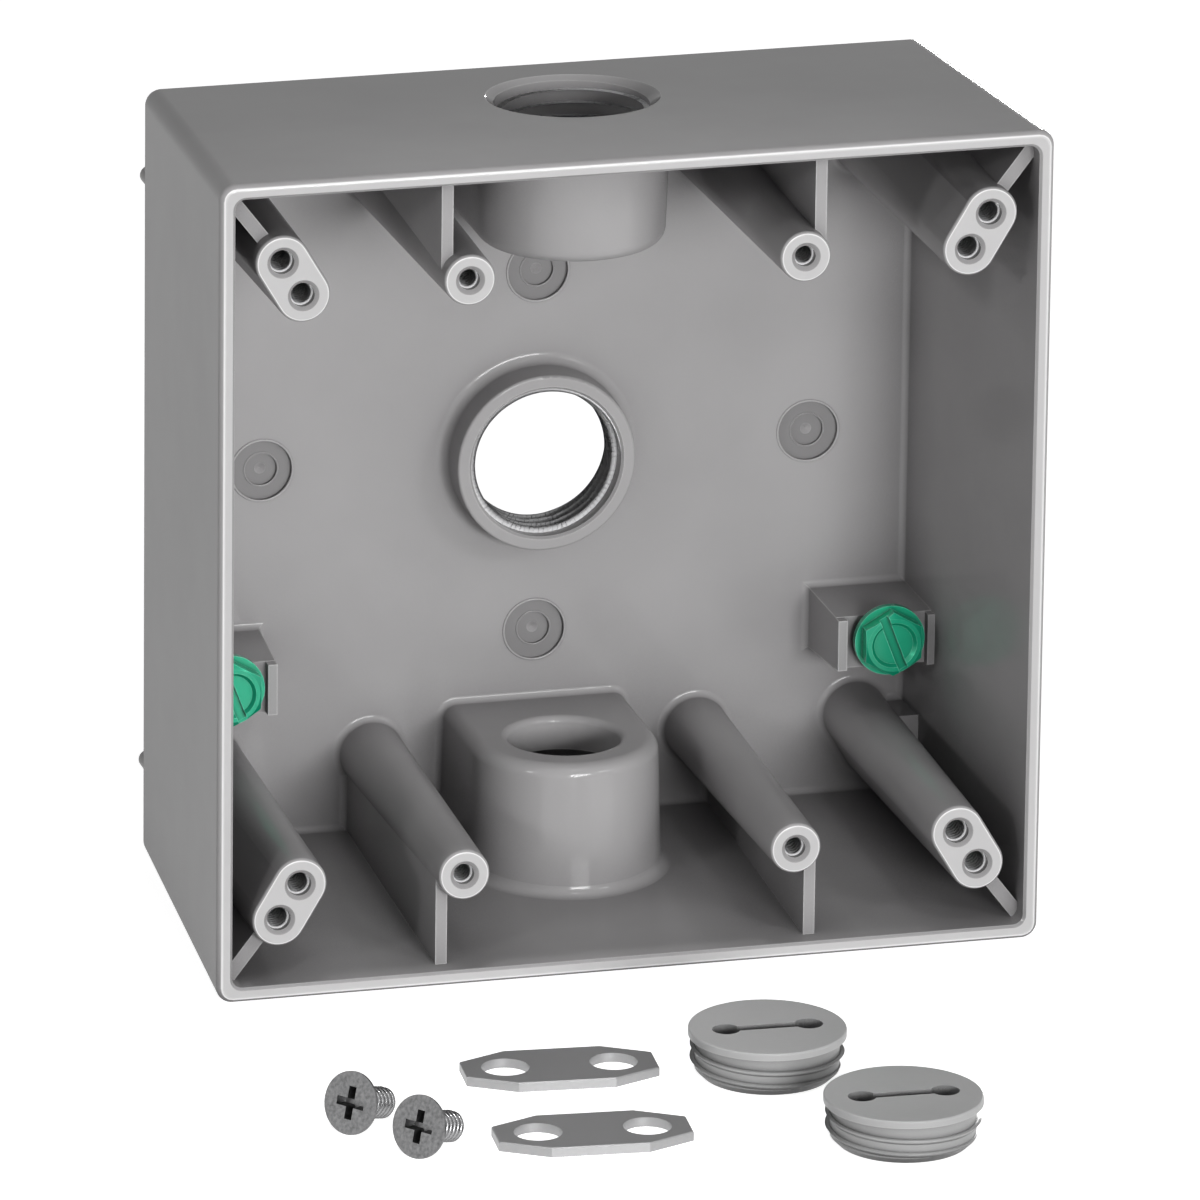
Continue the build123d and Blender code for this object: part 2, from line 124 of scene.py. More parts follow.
ambient_strength = 0.06
backdrop_strength = 1.0
world = bpy.data.worlds.new("studio_air")
scene.world = world
world.use_nodes = True
tree = world.node_tree
tree.nodes.clear()
ambient = tree.nodes.new("ShaderNodeBackground")
ambient.inputs["Color"].default_value = plain_white
ambient.inputs["Strength"].default_value = ambient_strength
white = tree.nodes.new("ShaderNodeBackground")
white.inputs["Color"].default_value = plain_white
white.inputs["Strength"].default_value = backdrop_strength
world_mix = tree.nodes.new("ShaderNodeMixShader")
tree.links.new(seen_share(tree), world_mix.inputs[0])
tree.links.new(ambient.outputs[0], world_mix.inputs[1])
tree.links.new(white.outputs[0], world_mix.inputs[2])
world_out = tree.nodes.new("ShaderNodeOutputWorld")
tree.links.new(world_mix.outputs[0], world_out.inputs["Surface"])


def soft_lamp(name, azimuth, elevation, distance, width, height, power):
    """A flat lamp panel aimed at the box."""
    data = bpy.data.lights.new(name, "AREA")
    data.shape = "RECTANGLE"
    data.size = width
    data.size_y = height
    data.energy = power
    lamp = bpy.data.objects.new(name, data)
    scene.collection.objects.link(lamp)
    across = math.radians(azimuth)
    rise = math.radians(elevation)
    away = Vector((
        math.sin(across) * math.cos(rise),
        -math.cos(across) * math.cos(rise),
        math.sin(rise),
    ))
    facing_box = away.to_track_quat("Z", "Y").to_matrix().to_4x4()
    lamp.matrix_world = Matrix.Translation(away * distance) @ facing_box


# Each row: azimuth and elevation in degrees, distance, width and height in metres, and watts.
lamp_panels = {
    "front_panel": (5.0, 9.0, 1.7, 0.6, 0.34, 18.0),
    "right_front_panel": (36.0, 22.0, 1.7, 0.4, 0.3, 3.2),
    "high_spark_lamp": (7.0, 58.0, 1.7, 0.2, 0.035, 1.3),
    "left_front_panel": (-56.0, 18.0, 1.7, 0.2, 0.15, 2.4),
    "left_panel": (-88.0, 6.0, 1.6, 0.8, 0.8, 1.6),
    "back_panel": (150.0, 0.0, 1.7, 0.6, 0.1, 11.0),
}
for name, panel in lamp_panels.items():
    soft_lamp(name, *panel)
hardware_middle = Vector((-13.0, -110.0, 0.0)) * millimetre
hardware_lamp_height = 1.45
hardware_lamp_power = 36.0
hardware_lamp_spread = math.radians(4.3)
hardware_lamp_blend = 0.12
hardware_lamp_radius = 0.05
hardware_light = bpy.data.lights.new("hardware_lamp", "SPOT")
hardware_light.energy = hardware_lamp_power
hardware_light.spot_size = hardware_lamp_spread
hardware_light.spot_blend = hardware_lamp_blend
hardware_light.shadow_soft_size = hardware_lamp_radius
hardware_lamp = bpy.data.objects.new("hardware_lamp", hardware_light)
scene.collection.objects.link(hardware_lamp)
hardware_lamp.location = hardware_middle + Vector((0.0, 0.0, hardware_lamp_height))
scene.view_settings.view_transform = "Standard"

# Box casting
# One die casting in aluminium with a baked grey powder coat, which has a fine orange peel and a faint
# gloss. Its edges carry a painted highlight where the coat is also thin, and its hollows painted shade.
# The rim and boss faces are ground flat and lighter, and their tint is partly painted light for the
# stronger light they catch than the inside. A painted highlight line runs along the rim's rounding.
casting_grey = (0.44, 0.432, 0.436, 1.0)
casting_grey_deep = (0.41, 0.402, 0.406, 1.0)
casting_edge_highlight_grey = (0.68, 0.674, 0.677, 1.0)
casting_painted_shade_grey = (0.2, 0.195, 0.198, 1.0)
ground_face_painted_light_grey = (0.6, 0.594, 0.597, 1.0)
painted_highlight_line = (1.0, 0.995, 0.997, 1.0)
spot_floor_grey = (0.27, 0.265, 0.268, 1.0)
ground_face_y = -53.2 * millimetre
ground_face_reach = 0.2 * millimetre
spot_floor_y = -2.2 * millimetre
spot_floor_reach = 0.4 * millimetre


def powder_coat(
    name,
    face,
    face_deep,
    edge_highlight,
    painted_hollow_shade,
    roughness,
    peel_scale,
    peel_depth,
    edge_width,
    painted_shade_reach,
):
    """Satin powder coat: cloudy tone, fine orange peel, a painted highlight on rounded edges and painted
    shade in hollows.
    """
    base_gloss = 0.25
    cloud_scale = 42.0
    cloud_detail = 3.0
    cloud_low = 0.35
    cloud_high = 0.65
    flat_likeness = 0.99
    edge_likeness = 0.85
    closed_openness = 0.25
    open_openness = 0.9
    peel_detail = 2.0
    peel_strength = 0.5
    gloss_spread = 0.06
    coat = bpy.data.materials.new(name)
    coat.use_nodes = True
    nodes = coat.node_tree.nodes
    links = coat.node_tree.links
    shader = nodes["Principled BSDF"]
    shader.inputs["Specular IOR Level"].default_value = base_gloss
    place = nodes.new("ShaderNodeTexCoord")
    cloud = nodes.new("ShaderNodeTexNoise")
    cloud.inputs["Scale"].default_value = cloud_scale
    cloud.inputs["Detail"].default_value = cloud_detail
    links.new(place.outputs["Object"], cloud.inputs["Vector"])
    tone = nodes.new("ShaderNodeMix")
    tone.data_type = "RGBA"
    tone.inputs["A"].default_value = face_deep
    tone.inputs["B"].default_value = face
    tone_range = nodes.new("ShaderNodeMapRange")
    tone_range.inputs["From Min"].default_value = cloud_low
    tone_range.inputs["From Max"].default_value = cloud_high
    links.new(cloud.outputs["Fac"], tone_range.inputs["Value"])
    links.new(tone_range.outputs["Result"], tone.inputs["Factor"])
    # Painted highlight: the tone lightens towards the edge colour on rounded edges.
    rounded = nodes.new("ShaderNodeBevel")
    rounded.samples = 6
    rounded.inputs["Radius"].default_value = edge_width
    flat = nodes.new("ShaderNodeNewGeometry")
    likeness = nodes.new("ShaderNodeVectorMath")
    likeness.operation = "DOT_PRODUCT"
    links.new(rounded.outputs["Normal"], likeness.inputs[0])
    links.new(flat.outputs["Normal"], likeness.inputs[1])
    edge_share = nodes.new("ShaderNodeMapRange")
    edge_share.inputs["From Min"].default_value = flat_likeness
    edge_share.inputs["From Max"].default_value = edge_likeness
    links.new(likeness.outputs["Value"], edge_share.inputs["Value"])
    tone_edge_highlight = nodes.new("ShaderNodeMix")
    tone_edge_highlight.data_type = "RGBA"
    tone_edge_highlight.inputs["B"].default_value = edge_highlight
    links.new(edge_share.outputs["Result"], tone_edge_highlight.inputs["Factor"])
    links.new(tone.outputs["Result"], tone_edge_highlight.inputs["A"])
    # Painted shade: ambient occlusion darkens the tone towards the hollow colour in creases and hollows.
    openness = nodes.new("ShaderNodeAmbientOcclusion")
    openness.samples = 4
    openness.inputs["Distance"].default_value = painted_shade_reach
    open_share = nodes.new("ShaderNodeMapRange")
    open_share.inputs["From Min"].default_value = closed_openness
    open_share.inputs["From Max"].default_value = open_openness
    links.new(openness.outputs["AO"], open_share.inputs["Value"])
    tone_painted_shade = nodes.new("ShaderNodeMix")
    tone_painted_shade.data_type = "RGBA"
    tone_painted_shade.inputs["A"].default_value = painted_hollow_shade
    links.new(open_share.outputs["Result"], tone_painted_shade.inputs["Factor"])
    links.new(tone_edge_highlight.outputs["Result"], tone_painted_shade.inputs["B"])
    links.new(tone_painted_shade.outputs["Result"], shader.inputs["Base Color"])
    peel = nodes.new("ShaderNodeTexNoise")
    peel.inputs["Scale"].default_value = peel_scale
    peel.inputs["Detail"].default_value = peel_detail
    links.new(place.outputs["Object"], peel.inputs["Vector"])
    relief = nodes.new("ShaderNodeBump")
    relief.inputs["Strength"].default_value = peel_strength
    relief.inputs["Distance"].default_value = peel_depth
    links.new(peel.outputs["Fac"], relief.inputs["Height"])
    links.new(relief.outputs["Normal"], shader.inputs["Normal"])
    gloss = nodes.new("ShaderNodeMapRange")
    gloss.inputs["To Min"].default_value = roughness - gloss_spread
    gloss.inputs["To Max"].default_value = roughness + gloss_spread
    links.new(peel.outputs["Fac"], gloss.inputs["Value"])
    links.new(gloss.outputs["Result"], shader.inputs["Roughness"])
    return coat


# The edge colour is a painted highlight on the roundings, and the hollow colour painted shade in corners
# and creases.
casting_coat = powder_coat(
    "casting_coat",
    face=casting_grey,
    face_deep=casting_grey_deep,
    edge_highlight=casting_edge_highlight_grey,
    painted_hollow_shade=casting_painted_shade_grey,
    roughness=0.34,
    peel_scale=1100.0,
    peel_depth=0.000024,
    edge_width=0.00035,
    painted_shade_reach=0.014,
)


def tint_facing_front(coat, tint, from_y, to_y, side_lean=-0.82, front_lean=-0.96, past_lean=None):
    """Mixes a tint into a coat on the faces towards the open front, from one depth to another.

    The leans are values of the normal's Y. A past_lean keeps the tint to a rounding's strip."""
    nodes = coat.node_tree.nodes
    links = coat.node_tree.links
    shader = nodes["Principled BSDF"]
    before = shader.inputs["Base Color"].links[0].from_socket
    place = nodes.new("ShaderNodeTexCoord")
    parts = nodes.new("ShaderNodeSeparateXYZ")
    links.new(place.outputs["Object"], parts.inputs["Vector"])
    reached = nodes.new("ShaderNodeMapRange")
    reached.inputs["From Min"].default_value = from_y
    reached.inputs["From Max"].default_value = to_y
    links.new(parts.outputs["Y"], reached.inputs["Value"])
    facing = nodes.new("ShaderNodeSeparateXYZ")
    links.new(place.outputs["Normal"], facing.inputs["Vector"])
    front_share = nodes.new("ShaderNodeMapRange")
    front_share.inputs["From Min"].default_value = side_lean
    front_share.inputs["From Max"].default_value = front_lean
    links.new(facing.outputs["Y"], front_share.inputs["Value"])
    share = nodes.new("ShaderNodeMath")
    share.operation = "MULTIPLY"
    links.new(reached.outputs["Result"], share.inputs[0])
    links.new(front_share.outputs["Result"], share.inputs[1])
    if past_lean is not None:
        rounding_share = nodes.new("ShaderNodeMapRange")
        rounding_share.inputs["From Min"].default_value = past_lean
        rounding_share.inputs["From Max"].default_value = front_lean
        links.new(facing.outputs["Y"], rounding_share.inputs["Value"])
        narrowed = nodes.new("ShaderNodeMath")
        narrowed.operation = "MULTIPLY"
        links.new(share.outputs[0], narrowed.inputs[0])
        links.new(rounding_share.outputs["Result"], narrowed.inputs[1])
        share = narrowed
    tinted = nodes.new("ShaderNodeMix")
    tinted.data_type = "RGBA"
    tinted.inputs["B"].default_value = tint
    links.new(share.outputs[0], tinted.inputs["Factor"])
    links.new(before, tinted.inputs["A"])
    links.new(tinted.outputs["Result"], shader.inputs["Base Color"])


clear_coat_weight = 0.45
clear_coat_roughness = 0.13
casting_shader = casting_coat.node_tree.nodes["Principled BSDF"]
casting_shader.inputs["Specular IOR Level"].default_value = 0.0
casting_shader.inputs["Coat Weight"].default_value = clear_coat_weight
casting_shader.inputs["Coat Roughness"].default_value = clear_coat_roughness
# Lighter tint on the rim and boss faces towards the front: partly their ground finish, partly painted
# light for the stronger light they catch.
tint_facing_front(casting_coat, ground_face_painted_light_grey, ground_face_y, ground_face_y - ground_face_reach)
# Painted highlight: a near-white line along the strip where the rim's rounding meets its flat face.
tint_facing_front(
    casting_coat,
    painted_highlight_line,
    ground_face_y,
    ground_face_y - ground_face_reach,
    side_lean=-0.84,
    front_lean=-0.93,
    past_lean=-0.999,
)
tint_facing_front(casting_coat, spot_floor_grey, spot_floor_y, spot_floor_y + spot_floor_reach)


def give_finish(node, finish):
    """Puts one finish on all of a solid."""
    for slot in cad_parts[node].material_slots:
        slot.material = finish


give_finish("box_casting", casting_coat)

# Threads of the three outlets
# Each outlet has a pipe thread tapped through the coat, so the bare aluminium shows. The back hub's
# thread is short, and the other two run from the outside of the box to the lip inside the hub.
pipe_pitch = 1.814 * millimetre
outlet_root_radius = 10.55 * millimetre
outlet_ridge_height = 0.9 * millimetre
outlet_axis_y = -18.6 * millimetre
outlet_thread_outer_end = 54.2 * millimetre
outlet_thread_inner_end = 40.4 * millimetre
back_hub_face_y = -7.9 * millimetre
back_thread_length = 7.5 * millimetre
pipe_ridge_base = 1.7 * millimetre
pipe_ridge_crest = 0.22 * millimetre


def named_input(tree, name, kind):
    """One named input of a node tree."""
    return tree.interface.new_socket(name=name, in_out="INPUT", socket_type=kind)


def helical_ridge_tree():
    """A ridge wound round its axis at every point, fading out at both of its ends."""
    faded_share = 0.02
    tree = bpy.data.node_groups.new("helical_ridge", "GeometryNodeTree")
    tree.interface.new_socket(name="Geometry", in_out="INPUT", socket_type="NodeSocketGeometry")
    named_input(tree, "Axis Turn", "NodeSocketRotation")
    for name in ("Base Radius", "Pitch", "Turns", "Ridge Height", "Base Width", "Crest Width", "Run Out"):
        named_input(tree, name, "NodeSocketFloat")
    named_input(tree, "Steps per Turn", "NodeSocketInt")
    named_input(tree, "Finish", "NodeSocketMaterial")
    tree.interface.new_socket(name="Geometry", in_out="OUTPUT", socket_type="NodeSocketGeometry")
    nodes = tree.nodes
    links = tree.links
    given = nodes.new("NodeGroupInput")
    made = nodes.new("NodeGroupOutput")
    rise = nodes.new("ShaderNodeMath")
    rise.operation = "MULTIPLY"
    links.new(given.outputs["Pitch"], rise.inputs[0])
    links.new(given.outputs["Turns"], rise.inputs[1])
    helix = nodes.new("GeometryNodeCurveSpiral")
    links.new(given.outputs["Steps per Turn"], helix.inputs["Resolution"])
    links.new(given.outputs["Turns"], helix.inputs["Rotations"])
    links.new(given.outputs["Base Radius"], helix.inputs["Start Radius"])
    links.new(given.outputs["Base Radius"], helix.inputs["End Radius"])
    links.new(rise.outputs[0], helix.inputs["Height"])
    upright = nodes.new("GeometryNodeSetCurveNormal")
    upright.mode = "Z_UP"
    links.new(helix.outputs["Curve"], upright.inputs["Curve"])
    along = nodes.new("GeometryNodeSplineParameter")
    from_end = nodes.new("ShaderNodeMath")
    from_end.operation = "SUBTRACT"
    from_end.inputs[0].default_value = 1.0
    links.new(along.outputs["Factor"], from_end.inputs[1])
    nearest = nodes.new("ShaderNodeMath")
    nearest.operation = "MINIMUM"
    links.new(along.outputs["Factor"], nearest.inputs[0])
    links.new(from_end.outputs[0], nearest.inputs[1])
    fade = nodes.new("ShaderNodeMapRange")
    fade.inputs["To Min"].default_value = faded_share
    links.new(nearest.outputs[0], fade.inputs["Value"])
    links.new(given.outputs["Run Out"], fade.inputs["From Max"])
    faded = nodes.new("GeometryNodeSetCurveRadius")
    links.new(upright.outputs["Curve"], faded.inputs["Curve"])
    links.new(fade.outputs["Result"], faded.inputs["Radius"])
    section = nodes.new("GeometryNodeCurvePrimitiveQuadrilateral")
    section.mode = "TRAPEZOID"
    section.inputs["Offset"].default_value = 0.0
    links.new(given.outputs["Base Width"], section.inputs["Bottom Width"])
    links.new(given.outputs["Crest Width"], section.inputs["Top Width"])
    links.new(given.outputs["Ridge Height"], section.inputs["Height"])
    half_height = nodes.new("ShaderNodeMath")
    half_height.operation = "MULTIPLY"
    half_height.inputs[1].default_value = 0.5
    links.new(given.outputs["Ridge Height"], half_height.inputs[0])
    base_shift = nodes.new("ShaderNodeCombineXYZ")
    links.new(half_height.outputs[0], base_shift.inputs["Y"])
    standing = nodes.new("GeometryNodeTransform")
    links.new(section.outputs["Curve"], standing.inputs["Geometry"])
    links.new(base_shift.outputs[0], standing.inputs["Translation"])
    sweep = nodes.new("GeometryNodeCurveToMesh")
    sweep.inputs["Fill Caps"].default_value = True
    links.new(faded.outputs["Curve"], sweep.inputs["Curve"])
    links.new(standing.outputs["Geometry"], sweep.inputs["Profile Curve"])
    links.new(fade.outputs["Result"], sweep.inputs["Scale"])
    spread = nodes.new("GeometryNodeInstanceOnPoints")
    links.new(given.outputs["Geometry"], spread.inputs["Points"])
    links.new(sweep.outputs["Mesh"], spread.inputs["Instance"])
    links.new(given.outputs["Axis Turn"], spread.inputs["Rotation"])
    real = nodes.new("GeometryNodeRealizeInstances")
    links.new(spread.outputs["Instances"], real.inputs["Geometry"])
    finish = nodes.new("GeometryNodeSetMaterial")
    links.new(real.outputs["Geometry"], finish.inputs["Geometry"])
    links.new(given.outputs["Finish"], finish.inputs["Material"])
    links.new(finish.outputs["Geometry"], made.inputs["Geometry"])
    return tree


ridge_tree = helical_ridge_tree()


def made_at_points(name, places, tree, values):
    """Plain mesh that a node tree makes at the given places, with its named inputs set."""
    points = bpy.data.meshes.new(name + "_places")
    points.from_pydata([tuple(place) for place in places], [], [])
    holder = bpy.data.objects.new(name + "_places", points)
    scene.collection.objects.link(holder)
    making = holder.modifiers.new("making", "NODES")
    making.node_group = tree
    for socket in tree.interface.items_tree:
        if socket.in_out == "INPUT" and socket.name in values:
            making[socket.identifier] = values[socket.name]
    bpy.context.view_layer.update()
    evaluated = holder.evaluated_get(bpy.context.evaluated_depsgraph_get())
    mesh = bpy.data.meshes.new_from_object(evaluated)
    mesh.name = name
    bpy.data.objects.remove(holder)
    return mesh


def wound_ridge(
    name,
    starts,
    axis_turn,
    base_radius,
    pitch,
    length,
    height,
    base,
    crest,
    run_out,
    steps,
    finish,
):
    """Ridges wound from the given points; a negative height points inwards."""
    merge_distance = 1e-7
    sizes = {
        "Axis Turn": axis_turn,
        "Base Radius": base_radius,
        "Pitch": pitch,
        "Turns": length / pitch,
        "Ridge Height": height,
        "Base Width": base,
        "Crest Width": crest,
        "Run Out": run_out,
        "Steps per Turn": steps,
        "Finish": finish,
    }
    mesh = made_at_points(name, starts, ridge_tree, sizes)
    shape = bmesh.new()
    shape.from_mesh(mesh)
    bmesh.ops.remove_doubles(shape, verts=shape.verts, dist=merge_distance)
    bmesh.ops.recalc_face_normals(shape, faces=shape.faces)
    shape.to_mesh(mesh)
    shape.free()
    ridge = bpy.data.objects.new(name, mesh)
    scene.collection.objects.link(ridge)
    return ridge


def cut_metal(name, colour, roughness, grain_scale, grain_depth, metallic=1.0, speckle=0.14):
    """Bare or plated metal with a fine grain in its tone, its gloss and its relief."""
    grain_detail = 4.0
    grain_strength = 0.4
    gloss_spread = 0.08
    metal = bpy.data.materials.new(name)
    metal.use_nodes = True
    nodes = metal.node_tree.nodes
    links = metal.node_tree.links
    shader = nodes["Principled BSDF"]
    shader.inputs["Metallic"].default_value = metallic
    place = nodes.new("ShaderNodeTexCoord")
    grain = nodes.new("ShaderNodeTexNoise")
    grain.inputs["Scale"].default_value = grain_scale
    grain.inputs["Detail"].default_value = grain_detail
    links.new(place.outputs["Object"], grain.inputs["Vector"])
    tone = nodes.new("ShaderNodeMix")
    tone.data_type = "RGBA"
    tone.inputs["A"].default_value = tuple((1.0 - speckle) * part for part in colour[:3]) + (1.0,)
    tone.inputs["B"].default_value = colour
    links.new(grain.outputs["Fac"], tone.inputs["Factor"])
    links.new(tone.outputs["Result"], shader.inputs["Base Color"])
    gloss = nodes.new("ShaderNodeMapRange")
    gloss.inputs["To Min"].default_value = roughness - gloss_spread
    gloss.inputs["To Max"].default_value = roughness + gloss_spread
    links.new(grain.outputs["Fac"], gloss.inputs["Value"])
    links.new(gloss.outputs["Result"], shader.inputs["Roughness"])
    relief = nodes.new("ShaderNodeBump")
    relief.inputs["Strength"].default_value = grain_strength
    relief.inputs["Distance"].default_value = grain_depth
    links.new(grain.outputs["Fac"], relief.inputs["Height"])
    links.new(relief.outputs["Normal"], shader.inputs["Normal"])
    return metal


tapped_metal = cut_metal(
    "tapped_aluminium",
    colour=(0.93, 0.93, 0.94, 1.0),
    roughness=0.3,
    grain_scale=1500.0,
    grain_depth=0.00001,
    metallic=0.1,
)
outlet_places = {
    "top_outlet_thread": ((0.0, outlet_axis_y, outlet_thread_inner_end), (0.0, 0.0, 0.0)),
    "bottom_outlet_thread": ((0.0, outlet_axis_y, -outlet_thread_inner_end), (math.pi, 0.0, 0.0)),
}
for name, (start, turned) in outlet_places.items():
    thread = wound_ridge(
        name,
        [start],
        turned,
        base_radius=outlet_root_radius,
        pitch=pipe_pitch,
        length=outlet_thread_outer_end - outlet_thread_inner_end,
        height=-outlet_ridge_height,
        base=pipe_ridge_base,
        crest=pipe_ridge_crest,
        run_out=0.06,
        steps=96,
        finish=tapped_metal,
    )
    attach(thread, "box")
back_thread = wound_ridge(
    "back_outlet_thread",
    [(0.0, back_hub_face_y, 0.0)],
    (-math.pi / 2, 0.0, 0.0),
    base_radius=outlet_root_radius,
    pitch=pipe_pitch,
    length=back_thread_length,
    height=-outlet_ridge_height,
    base=pipe_ridge_base,
    crest=pipe_ridge_crest,
    run_out=0.08,
    steps=96,
    finish=tapped_metal,
)
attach(back_thread, "box")

# Threads of the twelve cover and device screw holes
# Small machine threads tapped into the boss faces, bare metal like the outlets' threads. Each single
# boss has one hole for a device screw, and each double boss two for cover screws. Sizes in millimetres.
first_thread_y = -52.85
device_hole_x = 23.02
device_hole_z = 41.67
inner_cover_hole = (45.7, 41.2)
outer_cover_hole = (48.5, 45.9)
device_hole_radius = 1.45
cover_hole_radius = 1.65
machine_pitch = 0.794 * millimetre
hole_thread_length = 9.0 * millimetre
device_hole_places = []
cover_hole_places = []
for side in (-1, 1):
    for level in (-1, 1):
        device_hole_places.append((side * device_hole_x, first_thread_y, level * device_hole_z))
        for x, z in (inner_cover_hole, outer_cover_hole):
            cover_hole_places.append((side * x, first_thread_y, level * z))
for name, places, hole_radius in (
    ("device_hole_threads", device_hole_places, device_hole_radius),
    ("cover_hole_threads", cover_hole_places, cover_hole_radius),
):
    hole_threads = wound_ridge(
        name,
        [Vector(place) * millimetre for place in places],
        (-math.pi / 2, 0.0, 0.0),
        base_radius=hole_radius * millimetre,
        pitch=machine_pitch,
        length=hole_thread_length,
        height=-0.22 * millimetre,
        base=0.7 * millimetre,
        crest=0.12 * millimetre,
        run_out=0.06,
        steps=28,
        finish=tapped_metal,
    )
    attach(hole_threads, "box")

# Ground screws
# Two steel screws with a slotted hexagon washer head, dyed and lacquered green.
# The bright edge colour is a painted highlight on the head's edges, and the near-black hollow colour
# painted shade in the slot and dish.
green_lacquer = powder_coat(
    "green_lacquer",
    face=(0.006, 0.44, 0.245, 1.0),
    face_deep=(0.004, 0.33, 0.18, 1.0),
    edge_highlight=(0.2, 0.85, 0.6, 1.0),
    painted_hollow_shade=(0.0, 0.012, 0.006, 1.0),
    roughness=0.24,
    peel_scale=1600.0,
    peel_depth=0.00001,
    edge_width=0.00016,
    painted_shade_reach=0.0008,
)
lacquer_shader = green_lacquer.node_tree.nodes["Principled BSDF"]
lacquer_shader.inputs["Metallic"].default_value = 0.35
lacquer_shader.inputs["Coat Weight"].default_value = 0.6
lacquer_shader.inputs["Coat Roughness"].default_value = 0.12
for side in ("left", "right"):
    give_finish("ground_screw_" + side, green_lacquer)

# Beads round the drill spots
# The die leaves a fine raised bead round each drill spot and round the smaller recess in it. The
# beads are part of the casting and have its coat.
bead_tree = bpy.data.node_groups.new("bead_rings", "GeometryNodeTree")
bead_tree.interface.new_socket(name="Geometry", in_out="INPUT", socket_type="NodeSocketGeometry")
for name in ("Ring Radius", "Bead Radius"):
    named_input(bead_tree, name, "NodeSocketFloat")
named_input(bead_tree, "Finish", "NodeSocketMaterial")
bead_tree.interface.new_socket(name="Geometry", in_out="OUTPUT", socket_type="NodeSocketGeometry")
given = bead_tree.nodes.new("NodeGroupInput")
made = bead_tree.nodes.new("NodeGroupOutput")
ring = bead_tree.nodes.new("GeometryNodeCurvePrimitiveCircle")
ring.inputs["Resolution"].default_value = 72
bead_tree.links.new(given.outputs["Ring Radius"], ring.inputs["Radius"])
bead = bead_tree.nodes.new("GeometryNodeCurvePrimitiveCircle")
bead.inputs["Resolution"].default_value = 10
bead_tree.links.new(given.outputs["Bead Radius"], bead.inputs["Radius"])
sweep = bead_tree.nodes.new("GeometryNodeCurveToMesh")
bead_tree.links.new(ring.outputs["Curve"], sweep.inputs["Curve"])
bead_tree.links.new(bead.outputs["Curve"], sweep.inputs["Profile Curve"])
spread = bead_tree.nodes.new("GeometryNodeInstanceOnPoints")
spread.inputs["Rotation"].default_value = (math.pi / 2, 0.0, 0.0)
bead_tree.links.new(given.outputs["Geometry"], spread.inputs["Points"])
bead_tree.links.new(sweep.outputs["Mesh"], spread.inputs["Instance"])
real = bead_tree.nodes.new("GeometryNodeRealizeInstances")
bead_tree.links.new(spread.outputs["Instances"], real.inputs["Geometry"])
finish = bead_tree.nodes.new("GeometryNodeSetMaterial")
bead_tree.links.new(real.outputs["Geometry"], finish.inputs["Geometry"])
bead_tree.links.new(given.outputs["Finish"], finish.inputs["Material"])
bead_tree.links.new(finish.outputs["Geometry"], made.inputs["Geometry"])
spot_places = ((0.0, 25.7), (0.0, -25.7), (38.5, 0.0), (-38.5, 0.0))
# Each row: depth in the box, ring radius and bead radius in millimetres.
bead_sizes = {
    "drill_spot_outer_beads": (-2.3, 4.32, 0.17),
    "drill_spot_inner_beads": (-1.7, 2.36, 0.13),
}
for name, (level_y, ring_radius, bead_radius) in bead_sizes.items():
    centres = [
        (x * millimetre, level_y * millimetre, z * millimetre)
        for x, z in spot_places
    ]
    sizes = {
        "Ring Radius": ring_radius * millimetre,
        "Bead Radius": bead_radius * millimetre,
        "Finish": casting_coat,
    }
    mesh = made_at_points(name, centres, bead_tree, sizes)
    for face in mesh.polygons:
        face.use_smooth = True
    beads = bpy.data.objects.new(name, mesh)
    scene.collection.objects.link(beads)
    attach(beads, "box")

# Closure plugs
# Two cast plugs with a thin flange, a dumbbell-shaped wrench slot and a short pipe thread. They
# have the same powder coat as the box, thread and all.
# The edge colour is a painted highlight, and the near-black hollow colour painted shade in the wrench
# slot and the thread's grooves.
plug_coat = powder_coat(
    "plug_coat",
    face=(0.5, 0.5, 0.5, 1.0),
    face_deep=(0.47, 0.47, 0.47, 1.0),
    edge_highlight=(0.64, 0.64, 0.64, 1.0),
    painted_hollow_shade=(0.06, 0.06, 0.06, 1.0),
    roughness=0.36,
    peel_scale=1100.0,
    peel_depth=0.00003,
    edge_width=0.00015,
    painted_shade_reach=0.004,
)
plug_thread_radius = 9.57 * millimetre
plug_thread_length = 3.9 * millimetre
plug_thread_from_bottom = 1.3 * millimetre
for number in ("1", "2"):
    node = "closure_plug_" + number
    give_finish(node, plug_coat)
    low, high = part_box(node)
    middle = (low + high) / 2
    thread = wound_ridge(
        node + "_thread",
        [(middle.x, middle.y, low.z + plug_thread_from_bottom)],
        (0.0, 0.0, 0.0),
        base_radius=plug_thread_radius,
        pitch=pipe_pitch,
        length=plug_thread_length,
        height=0.72 * millimetre,
        base=1.35 * millimetre,
        crest=0.3 * millimetre,
        run_out=0.1,
        steps=96,
        finish=plug_coat,
    )
    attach(thread, "box")

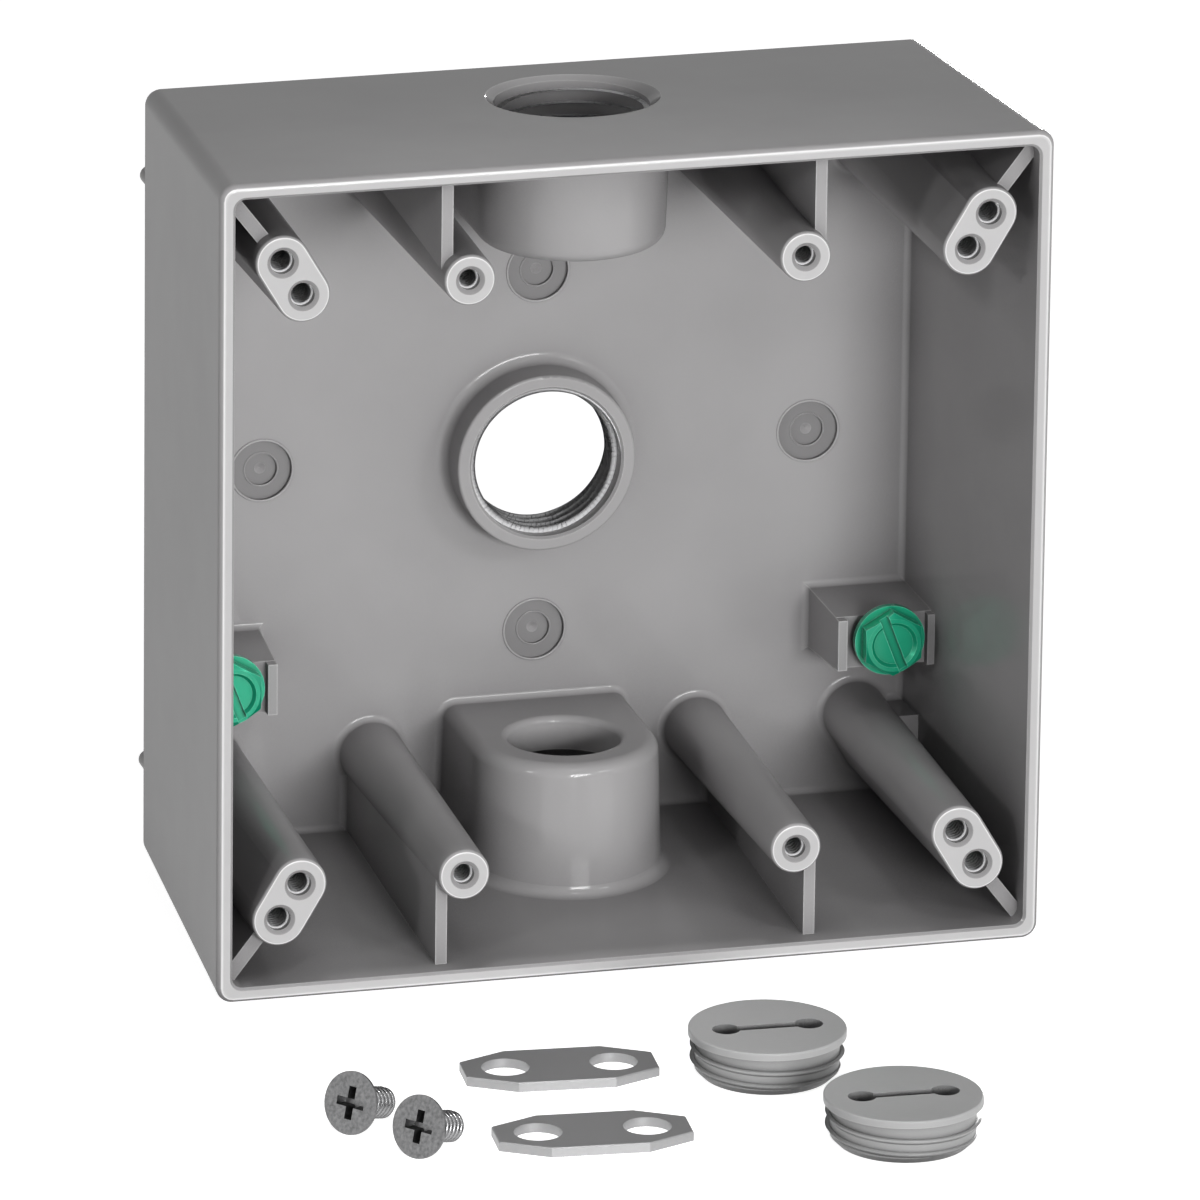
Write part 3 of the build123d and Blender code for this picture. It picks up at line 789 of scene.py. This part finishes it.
# Mounting lugs
# Two flat lugs stamped from sheet steel and zinc plated. The plating is dull, with a fine speckle.
lug_plating = cut_metal(
    "lug_plating",
    colour=(0.36, 0.36, 0.363, 1.0),
    roughness=0.45,
    grain_scale=2200.0,
    grain_depth=0.00002,
)
for number in ("1", "2"):
    give_finish("mounting_lug_" + number, lug_plating)

# Lug screws
# Two short countersunk machine screws with a cross recess, bright zinc plated.
screw_plating = cut_metal(
    "screw_plating",
    colour=(0.27, 0.27, 0.273, 1.0),
    roughness=0.34,
    grain_scale=2100.0,
    grain_depth=0.00006,
    speckle=0.85,
)
thread_plating = cut_metal(
    "thread_plating",
    colour=(0.34, 0.34, 0.345, 1.0),
    roughness=0.26,
    grain_scale=2600.0,
    grain_depth=0.00001,
)
# Each place is the middle of a head, across and along the floor in millimetres. The screw rests on
# its head and on the thread's last crest, so its axis dips a little.
lug_screw_places = {
    "lug_screw_1": (-51.6, -104.2),
    "lug_screw_2": (-45.1, -114.7),
}
screw_turn = math.radians(38.0)
screw_head_radius = 4.2
screw_crest_radius = 2.1
screw_contact_run = 7.5
screw_dip = math.atan((screw_head_radius - screw_crest_radius) / screw_contact_run)
head_centre_height = screw_head_radius * math.cos(screw_dip)
screw_axis = Vector((
    math.cos(screw_dip) * math.cos(screw_turn),
    math.cos(screw_dip) * math.sin(screw_turn),
    -math.sin(screw_dip),
))
screw_lie = screw_axis.to_track_quat("Z", "Y").to_euler()
thread_below_face = 2.7
screw_root_radius = 1.78 * millimetre
screw_thread_length = 4.8 * millimetre
for node, (x, y) in lug_screw_places.items():
    give_finish(node, screw_plating)
    head_centre = Vector((x, y, head_centre_height)) * millimetre + Vector((0.0, 0.0, floor_height))
    thread = wound_ridge(
        node + "_thread",
        [head_centre + screw_axis * thread_below_face * millimetre],
        tuple(screw_lie),
        base_radius=screw_root_radius,
        pitch=machine_pitch,
        length=screw_thread_length,
        height=0.32 * millimetre,
        base=0.72 * millimetre,
        crest=0.12 * millimetre,
        run_out=0.08,
        steps=36,
        finish=thread_plating,
    )
    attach(thread, "box")
